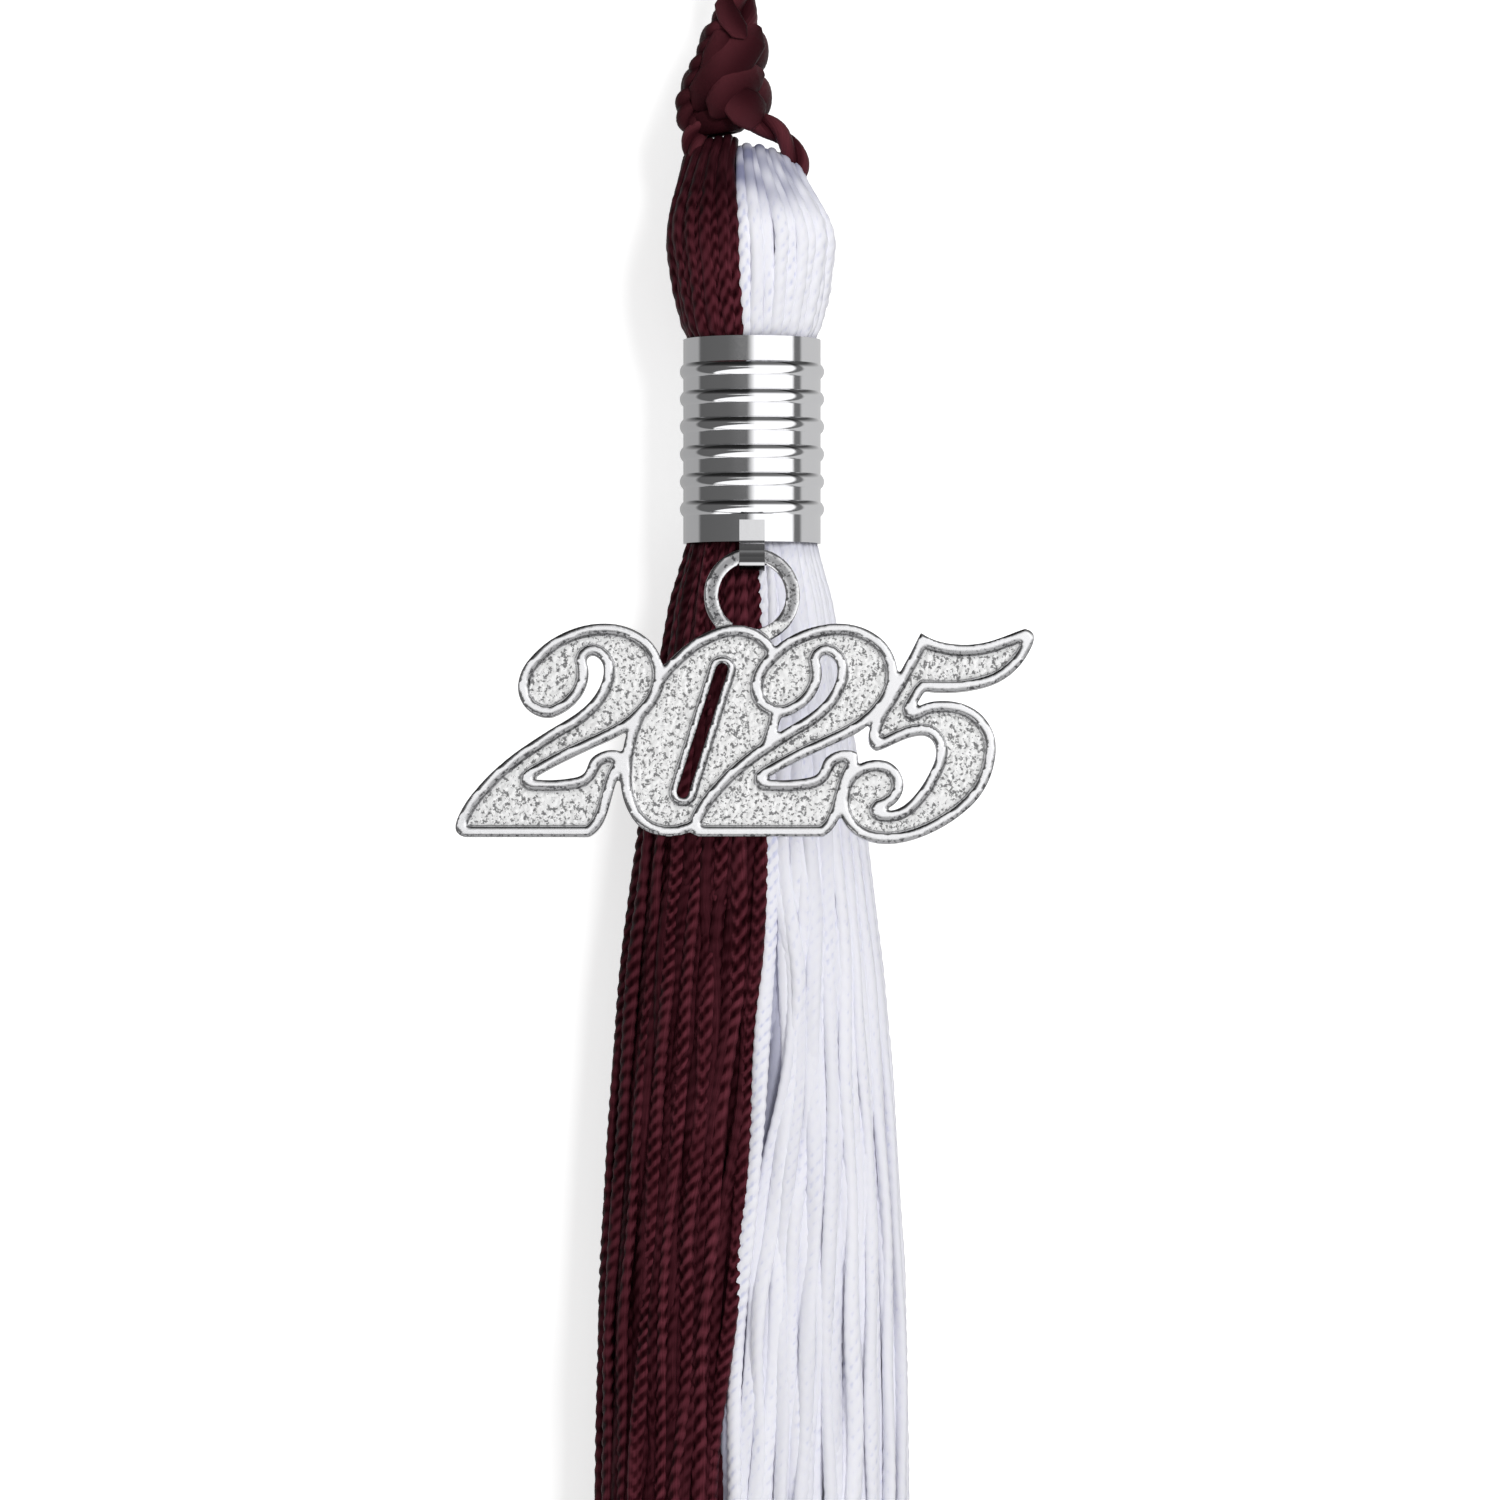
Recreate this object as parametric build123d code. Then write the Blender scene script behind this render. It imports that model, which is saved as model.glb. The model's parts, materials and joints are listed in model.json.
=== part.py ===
from build123d import *
from math import cos, pi, sin, sqrt
import os

# Graduation tassel: a cord loop, a two-colour yarn head, a ribbed metal band and a skirt of yarn tails,
# with a cast year charm hung from a strap on the band. Millimetres, +Z up, and the charm faces -Y.
# The origin is the inside top of the cord loop, where it hangs on a cap button or a hook.

# ---- Driving dimensions ----
LOOP_LENGTH = 120.0  # hanging point down to the top of the knot
KNOT_TO_BAND = 42.0  # top of the knot down to the band's lower edge
SKIRT_LENGTH = 197.0  # band's lower edge down to the trimmed yarn ends

BAND_RADIUS = 5.5  # outside of the plain lands
BAND_HEIGHT = 16.3
BAND_WALL = 0.3
RIB_COUNT = 6
RIB_PITCH = 2.2
RIB_HEIGHT = 1.15  # size of one rib along the band
RIB_RISE = 0.28
LOWEST_RIB = 2.75  # lower edge of the band up to the middle of the lowest rib
SEAM_GAP = 0.15

CORD_RADIUS = 0.85
FLEX_CLEARANCE = 0.2  # between the two ends at a flex point
SWING_KNUCKLE = 2.3  # radius of the turning end at the side swing
FOLD_KNUCKLE = 1.5  # radius of the turning end at the board fold
LOOP_BEND_RADIUS = 5.0  # inside radius of the loop where it goes round the button
LOOP_CLOSES_Z = -24.0  # where the two legs of the loop come together
KNOT_HEIGHT = 9.2
LEG_OFFSET = 0.9  # each leg of the loop is this far from the middle
BIGHT_RADIUS = 0.95  # the cord where it is pulled tight through the head

NECK_RADIUS = 4.5  # yarns packed inside the band
YARN_GAP = 0.1  # left between neighbouring groups of yarns
TAIL_GROUPS = 4  # groups of tails across each colour, front and back
FOLD_ABOVE_BAND = 9.8  # axis of the cord in the fold, above the band
HEAD_DEPTH_RATIO = 0.86  # front-to-back size of the head over its width
CORD_CLEARANCE = 0.15

CHARM_TILT = 4.0  # degrees that the skirt holds the charm forward
CHARM_FLOOR = 1.0
CHARM_THICKNESS = 1.65
CHARM_RIM = 0.8
SLOT_RIM = 0.55
TWO_SPACING = 18.4  # first 2 to second 2
ZERO_X = 19.6  # middle of the 0, from the first numeral's heel
ZERO_HALF_WIDTH, ZERO_HALF_HEIGHT = 5.9, 8.35
ZERO_SLANT = 0.318  # sideways lean per unit of height
FIVE_X = 33.2
SLOT_LENGTH, SLOT_WIDTH, SLOT_LEAN = 11.1, 0.9, 17.6  # opening in the 0
POCKET_CORNERS = 120
SMALLEST_POCKET = 1.0  # square millimetres: nothing smaller is sunk
RING_X, RING_Y = 23.5, 19.1  # middle of the ring, from the first numeral's heel and the baseline
RING_OUTER_RADIUS = 3.8
RING_INNER_RADIUS = 2.65
RING_THICKNESS = 0.9
STRAP_WIDTH = 2.0
STRAP_THICKNESS = 0.25
STRAP_LEG = 1.7  # how far the strap climbs the band
STRAP_EYE_RADIUS = 1.0  # inside of the eye that holds the ring

# ---- Heights and axes worked out from them ----
BAND_BOTTOM = -(LOOP_LENGTH + KNOT_TO_BAND)
BAND_TOP = BAND_BOTTOM + BAND_HEIGHT
FOLD_Z = BAND_TOP + FOLD_ABOVE_BAND
KNOT_TOP = -LOOP_LENGTH
SWING_Z = -30.0  # side swing of the cord, under the button
BOARD_FOLD_Z = KNOT_TOP + 10.0  # where the cord folds over the edge of the cap's board
STRAP_Y = -(BAND_RADIUS - BAND_WALL + 0.1)  # middle of the strap and of the charm's ring
CHARM_PIVOT_Z = BAND_BOTTOM - 1.1
FAR = 400.0  # longer than anything it is cut from


def tube(path, radius):
    """A round rod along a path."""
    return sweep(Plane(origin=path @ 0, z_dir=path % 0) * Circle(radius), path=path)


# ---- Cord ----
def legs(top, bottom):
    """The two straight legs of the loop between two heights."""
    leg = Cylinder(CORD_RADIUS, top - bottom, align=(Align.CENTER, Align.CENTER, Align.MIN))
    return Pos(-LEG_OFFSET, 0, bottom) * leg + Pos(LEG_OFFSET, 0, bottom) * leg


def knuckle(height, radius, axis):
    """A round bar across the cord at a flex point: one side of the cord ends inside it, the other outside."""
    bar = Cylinder(radius, FAR)
    turn = Rot(90, 0, 0) if axis == "Y" else Rot(0, 90, 0)
    return Pos(0, 0, height) * turn * bar


def half_space_below(height):
    return Pos(0, 0, height) * Box(FAR, FAR, FAR, align=(Align.CENTER, Align.CENTER, Align.MAX))


def keep_upper_side(shape, height, radius, axis):
    """Cuts a cord off above a flex point, with a hollow end that the lower piece turns in."""
    return shape - half_space_below(height) - knuckle(height, radius + FLEX_CLEARANCE, axis)


def keep_lower_side(shape, height, radius, axis):
    """Cuts a cord off below a flex point, with a round end centred on the flex axis."""
    rounded_end = shape & knuckle(height, radius, axis)
    return (shape & half_space_below(height)) + rounded_end


def cord_loop_top():
    reach = LOOP_BEND_RADIUS + CORD_RADIUS
    crown = Spline(
        (-LEG_OFFSET, 0, LOOP_CLOSES_Z),
        (-reach, 0, -reach),
        (0, 0, CORD_RADIUS),
        (reach, 0, -reach),
        (LEG_OFFSET, 0, LOOP_CLOSES_Z),
        tangents=[(0, 0, 1), (0, 0, -1)],
    )
    whole = tube(crown, CORD_RADIUS) + legs(LOOP_CLOSES_Z, SWING_Z)
    return keep_upper_side(whole, SWING_Z, SWING_KNUCKLE, "Y")


def cord_middle():
    whole = legs(SWING_Z + SWING_KNUCKLE, BOARD_FOLD_Z)
    whole = keep_lower_side(whole, SWING_Z, SWING_KNUCKLE, "Y")
    return keep_upper_side(whole, BOARD_FOLD_Z, FOLD_KNUCKLE, "X")


def bight(radius):
    """The cord from the knot, round the shoulders of the head and through the fold of its yarns."""
    shoulder = [(2.4, 6.9), (4.6, 4.7), (5.6, 2.4)]  # to the side, above the fold axis
    right = [(x, 0, FOLD_Z + z) for x, z in shoulder]
    left = [(-x, 0, FOLD_Z + z) for x, z in reversed(shoulder)]
    return tube(Spline(*right, (3.6, 0, FOLD_Z), (0, 0, FOLD_Z), (-3.6, 0, FOLD_Z), *left), radius)


def cord_knotted_end():
    """The cord's legs under the board fold, the knot, and the small bight that the head hangs on."""
    profile = Spline((0.9, 0, 0), (3.6, 0, -2.4), (3.0, 0, -4.4), (3.9, 0, -6.4), (1.2, 0, -KNOT_HEIGHT))
    closing = Polyline((1.2, 0, -KNOT_HEIGHT), (0, 0, -KNOT_HEIGHT), (0, 0, 0), (0.9, 0, 0))
    knot = Pos(0, 0, KNOT_TOP) * revolve(make_face([profile, *closing.edges()]), Axis.Z)
    upper = keep_lower_side(legs(BOARD_FOLD_Z + FOLD_KNUCKLE, KNOT_TOP - 3), BOARD_FOLD_Z, FOLD_KNUCKLE, "X")
    return upper + knot + bight(BIGHT_RADIUS)


# ---- Yarns ----
COLOURS = {"maroon": -1, "white": 1}  # the side of the tassel that each colour takes
FACINGS = {"front": -1, "back": 1}  # each yarn folds over the cord, so it has a front tail and a back tail
NECK_END_Z = BAND_BOTTOM + 1.1


def head_yarns(side):
    """One colour's yarns from inside the band, up over the cord and down again, as one soft mass."""
    bulb = Spline(
        (NECK_RADIUS, 0, BAND_TOP + 0.1),
        (6.5, 0, BAND_TOP + 3.8),
        (6.8, 0, BAND_TOP + 7.2),
        (5.6, 0, BAND_TOP + 11.2),
        (0, 0, FOLD_Z + 5.4),
        tangents=[(1, 0, 0.6), (-1, 0, 0)],
    )
    rest = Polyline(bulb @ 1, (0, 0, NECK_END_Z), (NECK_RADIUS, 0, NECK_END_Z), bulb @ 0)
    whole = scale(revolve(make_face([bulb, *rest.edges()]), Axis.Z), by=(1, HEAD_DEPTH_RATIO, 1))
    half = Pos(side * (10 + YARN_GAP / 2), 0, BAND_TOP) * Box(20, 30, 80)
    return (whole & half) - bight(BIGHT_RADIUS + CORD_CLEARANCE)


# Skirt outline: drop below the band's lower edge, half width, half depth, and the border between the colours.
SKIRT_OUTLINE = (
    (1.2, 4.3, 3.9, 0.0),
    (3.0, 5.2, 3.9, 0.4),
    (6.0, 6.5, 4.5, 0.8),
    (24.0, 9.2, 5.2, 1.0),
    (35.0, 10.6, 5.6, 0.4),
    (60.0, 12.2, 6.2, -2.1),
    (77.0, 12.8, 6.5, -2.4),
    (SKIRT_LENGTH, 13.6, 7.2, -2.4),
)


def yarn_tails(side, facing):
    """One colour's front or back tails, in groups side by side from the border to the edge."""
    groups = []
    for i in range(TAIL_GROUPS):
        near, far = i / TAIL_GROUPS, (i + 1) / TAIL_GROUPS
        fullness = sqrt(1 - ((near + far) / 2) ** 2)
        sections = []
        for drop, half_width, half_depth, border in SKIRT_OUTLINE:
            reach = side * half_width - border
            x_near = border + near * reach + side * YARN_GAP / 2
            x_far = border + far * reach - side * YARN_GAP / 2
            y_near, y_far = facing * YARN_GAP / 2, facing * half_depth * fullness
            middle = ((x_near + x_far) / 2, (y_near + y_far) / 2, BAND_BOTTOM - drop)
            sections.append(Pos(*middle) * Rectangle(abs(x_far - x_near), abs(y_far - y_near)))
        groups.append(loft(sections, ruled=True))
    return Compound(children=groups)


# ---- Neck binding and band ----
def neck_binding():
    """Thread wound round the yarns under the band."""
    thread, turns = 0.22, 5
    pitch = 2 * thread + 0.06
    radius = NECK_RADIUS + thread + 0.05
    coil = Helix(pitch=pitch, height=turns * pitch, radius=radius)
    return Pos(0, 0, BAND_BOTTOM + 0.55 * BAND_HEIGHT) * tube(coil, thread)


def band():
    """A strip rolled into a sleeve, with ribs rolled into its wall and a butt seam at the back."""

    def outline(radius):
        points = [(radius, 0)]
        edges = []
        for i in range(RIB_COUNT):
            middle = LOWEST_RIB + i * RIB_PITCH
            low, high = (radius, middle - RIB_HEIGHT / 2), (radius, middle + RIB_HEIGHT / 2)
            edges += [Line(points[-1], low), ThreePointArc(low, (radius + RIB_RISE, middle), high)]
            points.append(high)
        edges.append(Line(points[-1], (radius, BAND_HEIGHT)))
        return edges

    inner, outer = BAND_RADIUS - BAND_WALL, BAND_RADIUS
    ends = [Line((inner, 0), (outer, 0)), Line((inner, BAND_HEIGHT), (outer, BAND_HEIGHT))]
    section = make_face([*outline(inner), *outline(outer), *ends])
    sleeve = revolve(Plane.XZ * section, Axis.Z)
    seam = Pos(0, BAND_RADIUS, BAND_HEIGHT / 2) * Box(SEAM_GAP, 2, BAND_HEIGHT + 1)
    return Pos(0, 0, BAND_BOTTOM) * (sleeve - seam)


# ---- Charm and its strap ----
def charm_strap():
    """A strip folded over the band's lower edge, with an eye under the band for the charm's ring."""
    half_slot = 0.25
    half_width = half_slot + STRAP_THICKNESS
    leg_top = BAND_BOTTOM + STRAP_LEG - CHARM_PIVOT_Z
    eye = STRAP_EYE_RADIUS
    bottom = (Align.CENTER, Align.MIN)
    outside = Circle(eye + STRAP_THICKNESS) + Rectangle(2 * half_width, leg_top, align=bottom)
    inside = Circle(eye) + Rectangle(2 * half_slot, leg_top + 1, align=bottom)
    strap = extrude(Plane.YZ * (outside - inside), amount=STRAP_WIDTH / 2, both=True)
    return Pos(0, STRAP_Y, CHARM_PIVOT_Z) * strap


def outline_face(*runs):
    """A face inside a closed outline: a run of two points is straight, and a longer run is a smooth curve."""
    edges = [Line(*run) if len(run) == 2 else Spline(*run) for run in runs]
    return make_face(edges)


def numeral_two():
    """An italic 2 with a ball terminal and a stepped foot, standing on y = 0."""
    heel, toe = (0.9, 0.0), (10.7, 0.0)
    ankle, step = (13.4, 5.4), (13.4, 6.6)
    crotch = (6.1, 4.5)
    ball, throat = (7.8, 9.45), (8.9, 9.2)
    eye = (10.4, 13.9)
    return outline_face(
        (heel, toe),
        (toe, (11.3, 0.45), (12.4, 2.9), ankle),
        (ankle, step),
        (step, (11.4, 6.55), (10.75, 6.0), (10.3, 5.0), (9.3, 4.6), (7.6, 4.45), crotch),
        (crotch, (7.0, 5.05), (8.5, 5.85), (11.1, 7.1), (13.2, 8.1), (15.0, 9.5), (16.3, 11.4), (16.5, 13.4), (15.5, 15.4),
         (13.6, 16.55), (11.4, 16.8), (8.9, 16.2), (6.4, 14.5), (5.1, 12.3), (5.3, 10.7), (6.4, 9.65), ball),
        (ball, (9.1, 10.15), (10.2, 11.4), (10.6, 12.7), eye),
        (eye, (10.95, 14.35), (11.6, 13.9), (11.8, 12.8), (11.1, 11.1), (10.0, 9.95), throat),
        (throat, (6.3, 7.6), (3.4, 5.4), (1.6, 3.5), (0.4, 1.6), (0.2, 0.5), heel),
    )


def numeral_zero(centre_x, half_width, half_height, slant):
    """A slanted oval standing on y = 0."""
    points = []
    for i in range(16):
        turn = 2 * pi * i / 16
        lean = slant * half_height * sin(turn)
        points.append((centre_x + half_width * cos(turn) + lean, half_height * (1 + sin(turn))))
    return make_face(Spline(*points, periodic=True))


def numeral_five():
    """An italic 5 with a swept flag and a ball terminal, standing on y = 0."""
    shoulder, tip = (3.6, 16.1), (11.8, 16.4)
    armpit, notch = (3.9, 11.5), (3.0, 10.0)
    curl, hook = (2.05, 3.3), (0.4, 2.1)
    foot = (0.15, 6.8)
    return outline_face(
        (shoulder, (4.7, 15.5), (6.0, 15.2), (7.6, 15.15), (9.2, 15.45), (10.7, 16.0), tip),
        (tip, (12.5, 15.9), (12.2, 14.7), (11.3, 13.4), (9.9, 12.3), (8.0, 11.65), (6.0, 11.4), armpit),
        (armpit, notch),
        (notch, (4.1, 10.55), (5.6, 10.7), (7.2, 10.35), (8.6, 9.35), (9.4, 7.8), (9.4, 6.0), (8.5, 3.6),
         (6.2, 1.35), (3.2, -0.15), (0.2, -0.5), (-2.0, 0.5), (-2.9, 2.3), (-2.7, 4.2), (-1.5, 5.6),
         (0.0, 6.05), (1.3, 5.75), (2.1, 4.7), curl),
        (curl, (1.4, 2.5), hook),
        (hook, (2.0, 2.3), (3.3, 3.5), (4.4, 5.3), (4.8, 6.9), (4.3, 7.85), (3.1, 7.95), (1.6, 7.4), foot),
        (foot, (-0.4, 7.2), (-0.4, 8.6), (0.8, 10.9), (2.2, 13.4), shoulder),
    )


def pocket_of(face):
    """The sunk floor inside a numeral, a rim's width in from its outline, as a fine polygon."""
    edge = offset(face, amount=-CHARM_RIM, kind=Kind.ARC).face().outer_wire()
    corners = [edge @ (i / POCKET_CORNERS) for i in range(POCKET_CORNERS)]
    return make_face(Polyline(*corners, close=True))


def year_charm():
    """A casting of the four numerals and the ring. Each numeral has a sunk floor inside a raised rim."""
    first = numeral_two()
    second = Pos(TWO_SPACING, 0) * numeral_two()
    zero = numeral_zero(ZERO_X, ZERO_HALF_WIDTH, ZERO_HALF_HEIGHT, ZERO_SLANT)
    five = Pos(FIVE_X, 0) * numeral_five()
    slot_place = Pos(ZERO_X, ZERO_HALF_HEIGHT) * Rot(0, 0, -SLOT_LEAN)
    slot = slot_place * SlotOverall(SLOT_LENGTH, SLOT_WIDTH, rotation=90)
    slot_rim = slot_place * SlotOverall(SLOT_LENGTH + 2 * SLOT_RIM, SLOT_WIDTH + 2 * SLOT_RIM, rotation=90)
    plate = first + second + zero + five - (slot - first - second)
    zero_pocket = pocket_of(zero) - first - second - slot_rim
    sunk = [pocket_of(first), pocket_of(second) - five, pocket_of(five), zero_pocket]
    casting = extrude(plate, amount=CHARM_THICKNESS)
    for pocket in (face for sketch in sunk for face in sketch.faces()):
        if pocket.area > SMALLEST_POCKET:
            casting -= Pos(0, 0, CHARM_FLOOR) * extrude(pocket, amount=CHARM_THICKNESS)
    ring = Pos(RING_X, RING_Y) * (Circle(RING_OUTER_RADIUS) - Circle(RING_INNER_RADIUS)) - plate
    casting += extrude(ring, amount=RING_THICKNESS)
    wire_middle = (RING_OUTER_RADIUS + RING_INNER_RADIUS) / 2
    from_pivot = Pos(-RING_X, -RING_Y - wire_middle, -RING_THICKNESS / 2) * casting
    return Pos(0, STRAP_Y, CHARM_PIVOT_Z) * Rot(90 - CHARM_TILT, 0, 0) * from_pivot


# ---- Write one file per piece ----
def pieces():
    made = {
        "cord_loop_top": cord_loop_top(),
        "cord_middle": cord_middle(),
        "cord_knotted_end": cord_knotted_end(),
        "neck_binding": neck_binding(),
        "ribbed_band": band(),
        "charm_strap": charm_strap(),
        "year_charm": year_charm(),
    }
    for colour, side in COLOURS.items():
        made[f"{colour}_head_yarns"] = head_yarns(side)
        for place, facing in FACINGS.items():
            made[f"{colour}_tails_{place}"] = yarn_tails(side, facing)
    return made


os.makedirs("parts", exist_ok=True)
for node, shape in pieces().items():
    export_step(shape, f"parts/{node}.step")
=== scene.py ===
import json
import math
import bpy
import numpy as np
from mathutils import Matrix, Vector, noise

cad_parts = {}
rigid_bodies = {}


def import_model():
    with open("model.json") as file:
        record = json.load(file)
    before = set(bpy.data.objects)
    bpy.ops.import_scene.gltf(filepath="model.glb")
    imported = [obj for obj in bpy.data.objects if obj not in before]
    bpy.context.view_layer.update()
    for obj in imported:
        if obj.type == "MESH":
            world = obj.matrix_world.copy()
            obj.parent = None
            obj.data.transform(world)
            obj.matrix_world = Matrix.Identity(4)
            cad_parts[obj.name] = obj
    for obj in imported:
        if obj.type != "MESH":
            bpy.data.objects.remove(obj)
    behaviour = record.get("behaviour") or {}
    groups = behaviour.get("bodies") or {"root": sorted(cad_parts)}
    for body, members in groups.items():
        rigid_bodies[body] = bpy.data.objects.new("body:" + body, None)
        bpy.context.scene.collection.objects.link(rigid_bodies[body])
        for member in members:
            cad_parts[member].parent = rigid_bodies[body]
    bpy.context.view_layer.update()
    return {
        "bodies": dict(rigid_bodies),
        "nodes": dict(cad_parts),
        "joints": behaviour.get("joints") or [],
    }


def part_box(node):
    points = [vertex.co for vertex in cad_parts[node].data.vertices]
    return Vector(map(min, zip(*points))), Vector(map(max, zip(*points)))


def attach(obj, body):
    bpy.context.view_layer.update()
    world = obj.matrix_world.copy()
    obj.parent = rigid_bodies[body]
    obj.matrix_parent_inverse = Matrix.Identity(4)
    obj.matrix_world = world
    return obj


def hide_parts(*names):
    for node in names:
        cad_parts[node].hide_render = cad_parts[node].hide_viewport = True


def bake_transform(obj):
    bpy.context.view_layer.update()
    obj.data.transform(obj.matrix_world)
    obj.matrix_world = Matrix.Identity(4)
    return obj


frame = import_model()

# ---- Frame: heights in millimetres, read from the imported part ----
MM = 0.001


def cad_box(node):
    """Lowest and highest corner of a CAD node, in millimetres."""
    low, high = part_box(node)
    return np.array(low) / MM, np.array(high) / MM


JOINTS = {j["name"]: np.array(j["pos_m"]) / MM for j in frame["joints"]}
BAND_LOW, BAND_HIGH = cad_box("ribbed_band")
BAND_BOTTOM, BAND_TOP = BAND_LOW[2], BAND_HIGH[2]
HEAD_TOP = cad_box("maroon_head_yarns")[1][2]
TAIL_END = cad_box("white_tails_front")[0][2]
LOOP_TOP = cad_box("cord_loop_top")[1][2]
LOOP_SIDE = cad_box("cord_loop_top")[1][0]
KNOT_TOP = BAND_TOP + 25.7
SKIRT_LENGTH = BAND_BOTTOM - TAIL_END
CHARM_PIVOT = JOINTS["charm_swing"]

rng = np.random.default_rng(2025)


# ---- Materials ----
def screen_colour(r, g, b):
    """A screen colour in 0-255 as the linear colour that shaders take."""
    return tuple(((c / 255 + 0.055) / 1.055) ** 2.4 if c > 10 else c / 255 / 12.92 for c in (r, g, b)) + (1.0,)


class Nodes:
    """Short calls for building a material's node tree."""

    def __init__(self, material):
        self.tree = material.node_tree
        self.tree.nodes.clear()

    def add(self, kind, inputs=None, **settings):
        node = self.tree.nodes.new(kind)
        for key, value in settings.items():
            setattr(node, key, value)
        for key, value in (inputs or {}).items():
            if isinstance(value, bpy.types.NodeSocket):
                self.tree.links.new(value, node.inputs[key])
            else:
                node.inputs[key].default_value = value
        return node

    def math(self, operation, a, b=0.0):
        return self.add("ShaderNodeMath", {0: a, 1: b}, operation=operation).outputs[0]

    def mix(self, factor, a, b):
        node = self.add("ShaderNodeMix", {0: factor, 6: a, 7: b}, data_type="RGBA")
        return node.outputs[2]

    def ramp(self, value, stops, interpolation="LINEAR"):
        node = self.add("ShaderNodeValToRGB", {0: value})
        node.color_ramp.interpolation = interpolation
        elements = node.color_ramp.elements
        while len(elements) < len(stops):
            elements.new(0.5)
        for element, (place, colour) in zip(elements, stops):
            element.position = place
            element.color = colour if len(colour) == 4 else (*colour, 1.0)
        return node.outputs[0]


def new_material(name):
    material = bpy.data.materials.new(name)
    material.use_nodes = True
    return material, Nodes(material)


def floss_material(name, lit, mid, hole, shadow, roughness, filament_scale=26.0, fibre_bump=0.25):
    """Lustrous rayon: fine filaments along the yarn, with painted shade in the stitch holes and a painted highlight on
    the crowns; shadow is a painted shade colour that the shade attribute mixes in.
    """
    material, n = new_material(name)
    uv = n.add("ShaderNodeUVMap", uv_map="yarn").outputs[0]
    stretched = n.add("ShaderNodeMapping", {0: uv, 3: (filament_scale, 0.35, 1.0)}).outputs[0]
    fibres = n.add("ShaderNodeTexNoise", {"Vector": stretched, "Scale": 1.0, "Detail": 3.0, "Roughness": 0.6}).outputs[0]
    broad = n.add("ShaderNodeTexNoise", {"Vector": uv, "Scale": 0.16, "Detail": 2.0}).outputs[0]
    crown = n.add("ShaderNodeAttribute", attribute_name="crown").outputs[2]
    shade = n.add("ShaderNodeAttribute", attribute_name="shade").outputs[2]
    tone = n.math("ADD", crown, n.math("MULTIPLY", n.math("SUBTRACT", fibres, 0.5), 0.55))
    tone = n.math("ADD", tone, n.math("MULTIPLY", n.math("SUBTRACT", broad, 0.5), 0.25))
    colour = n.ramp(tone, [(0.0, hole), (0.42, mid), (1.0, lit)])
    colour = n.mix(shade, colour, shadow)
    bump = n.add("ShaderNodeBump", {"Strength": fibre_bump, "Distance": 0.00006, "Height": fibres}).outputs[0]
    shader = n.add(
        "ShaderNodeBsdfPrincipled",
        {
            "Base Color": colour, "Roughness": roughness, "Normal": bump, "Specular IOR Level": 0.35,
            "Specular Tint": lit, "Anisotropic": 0.5,
        },
    )
    n.add("ShaderNodeOutputMaterial", {0: shader.outputs[0]})
    return material


# Each yarn colour: lit is a painted highlight, mid the yarn's own colour, hole a painted shade in the stitch holes,
# shadow a painted shade.
MAROON = floss_material(
    "maroon_chainette", screen_colour(120, 58, 70), screen_colour(54, 18, 24), screen_colour(18, 2, 5),
    screen_colour(15, 2, 4), 0.4,
)
WHITE = floss_material(
    "white_chainette", screen_colour(251, 251, 255), screen_colour(247, 247, 255), screen_colour(214, 217, 240),
    screen_colour(112, 115, 150), 0.5,
)
CORD = floss_material(
    "satin_cord", screen_colour(112, 56, 64), screen_colour(54, 20, 26), screen_colour(18, 3, 6),
    screen_colour(15, 2, 4), 0.34, 46.0, 0.7,
)


def thread_material():
    """Dull cotton thread."""
    material, n = new_material("binding_thread")
    place = n.add("ShaderNodeTexCoord").outputs["Object"]
    fuzz = n.add("ShaderNodeTexNoise", {"Vector": place, "Scale": 4000.0, "Detail": 3.0}).outputs[0]
    colour = n.ramp(fuzz, [(0.2, screen_colour(180, 175, 165)), (0.8, screen_colour(232, 228, 218))])
    shader = n.add("ShaderNodeBsdfPrincipled", {"Base Color": colour, "Roughness": 0.8})
    n.add("ShaderNodeOutputMaterial", {0: shader.outputs[0]})
    return material


THREAD = thread_material()


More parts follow.
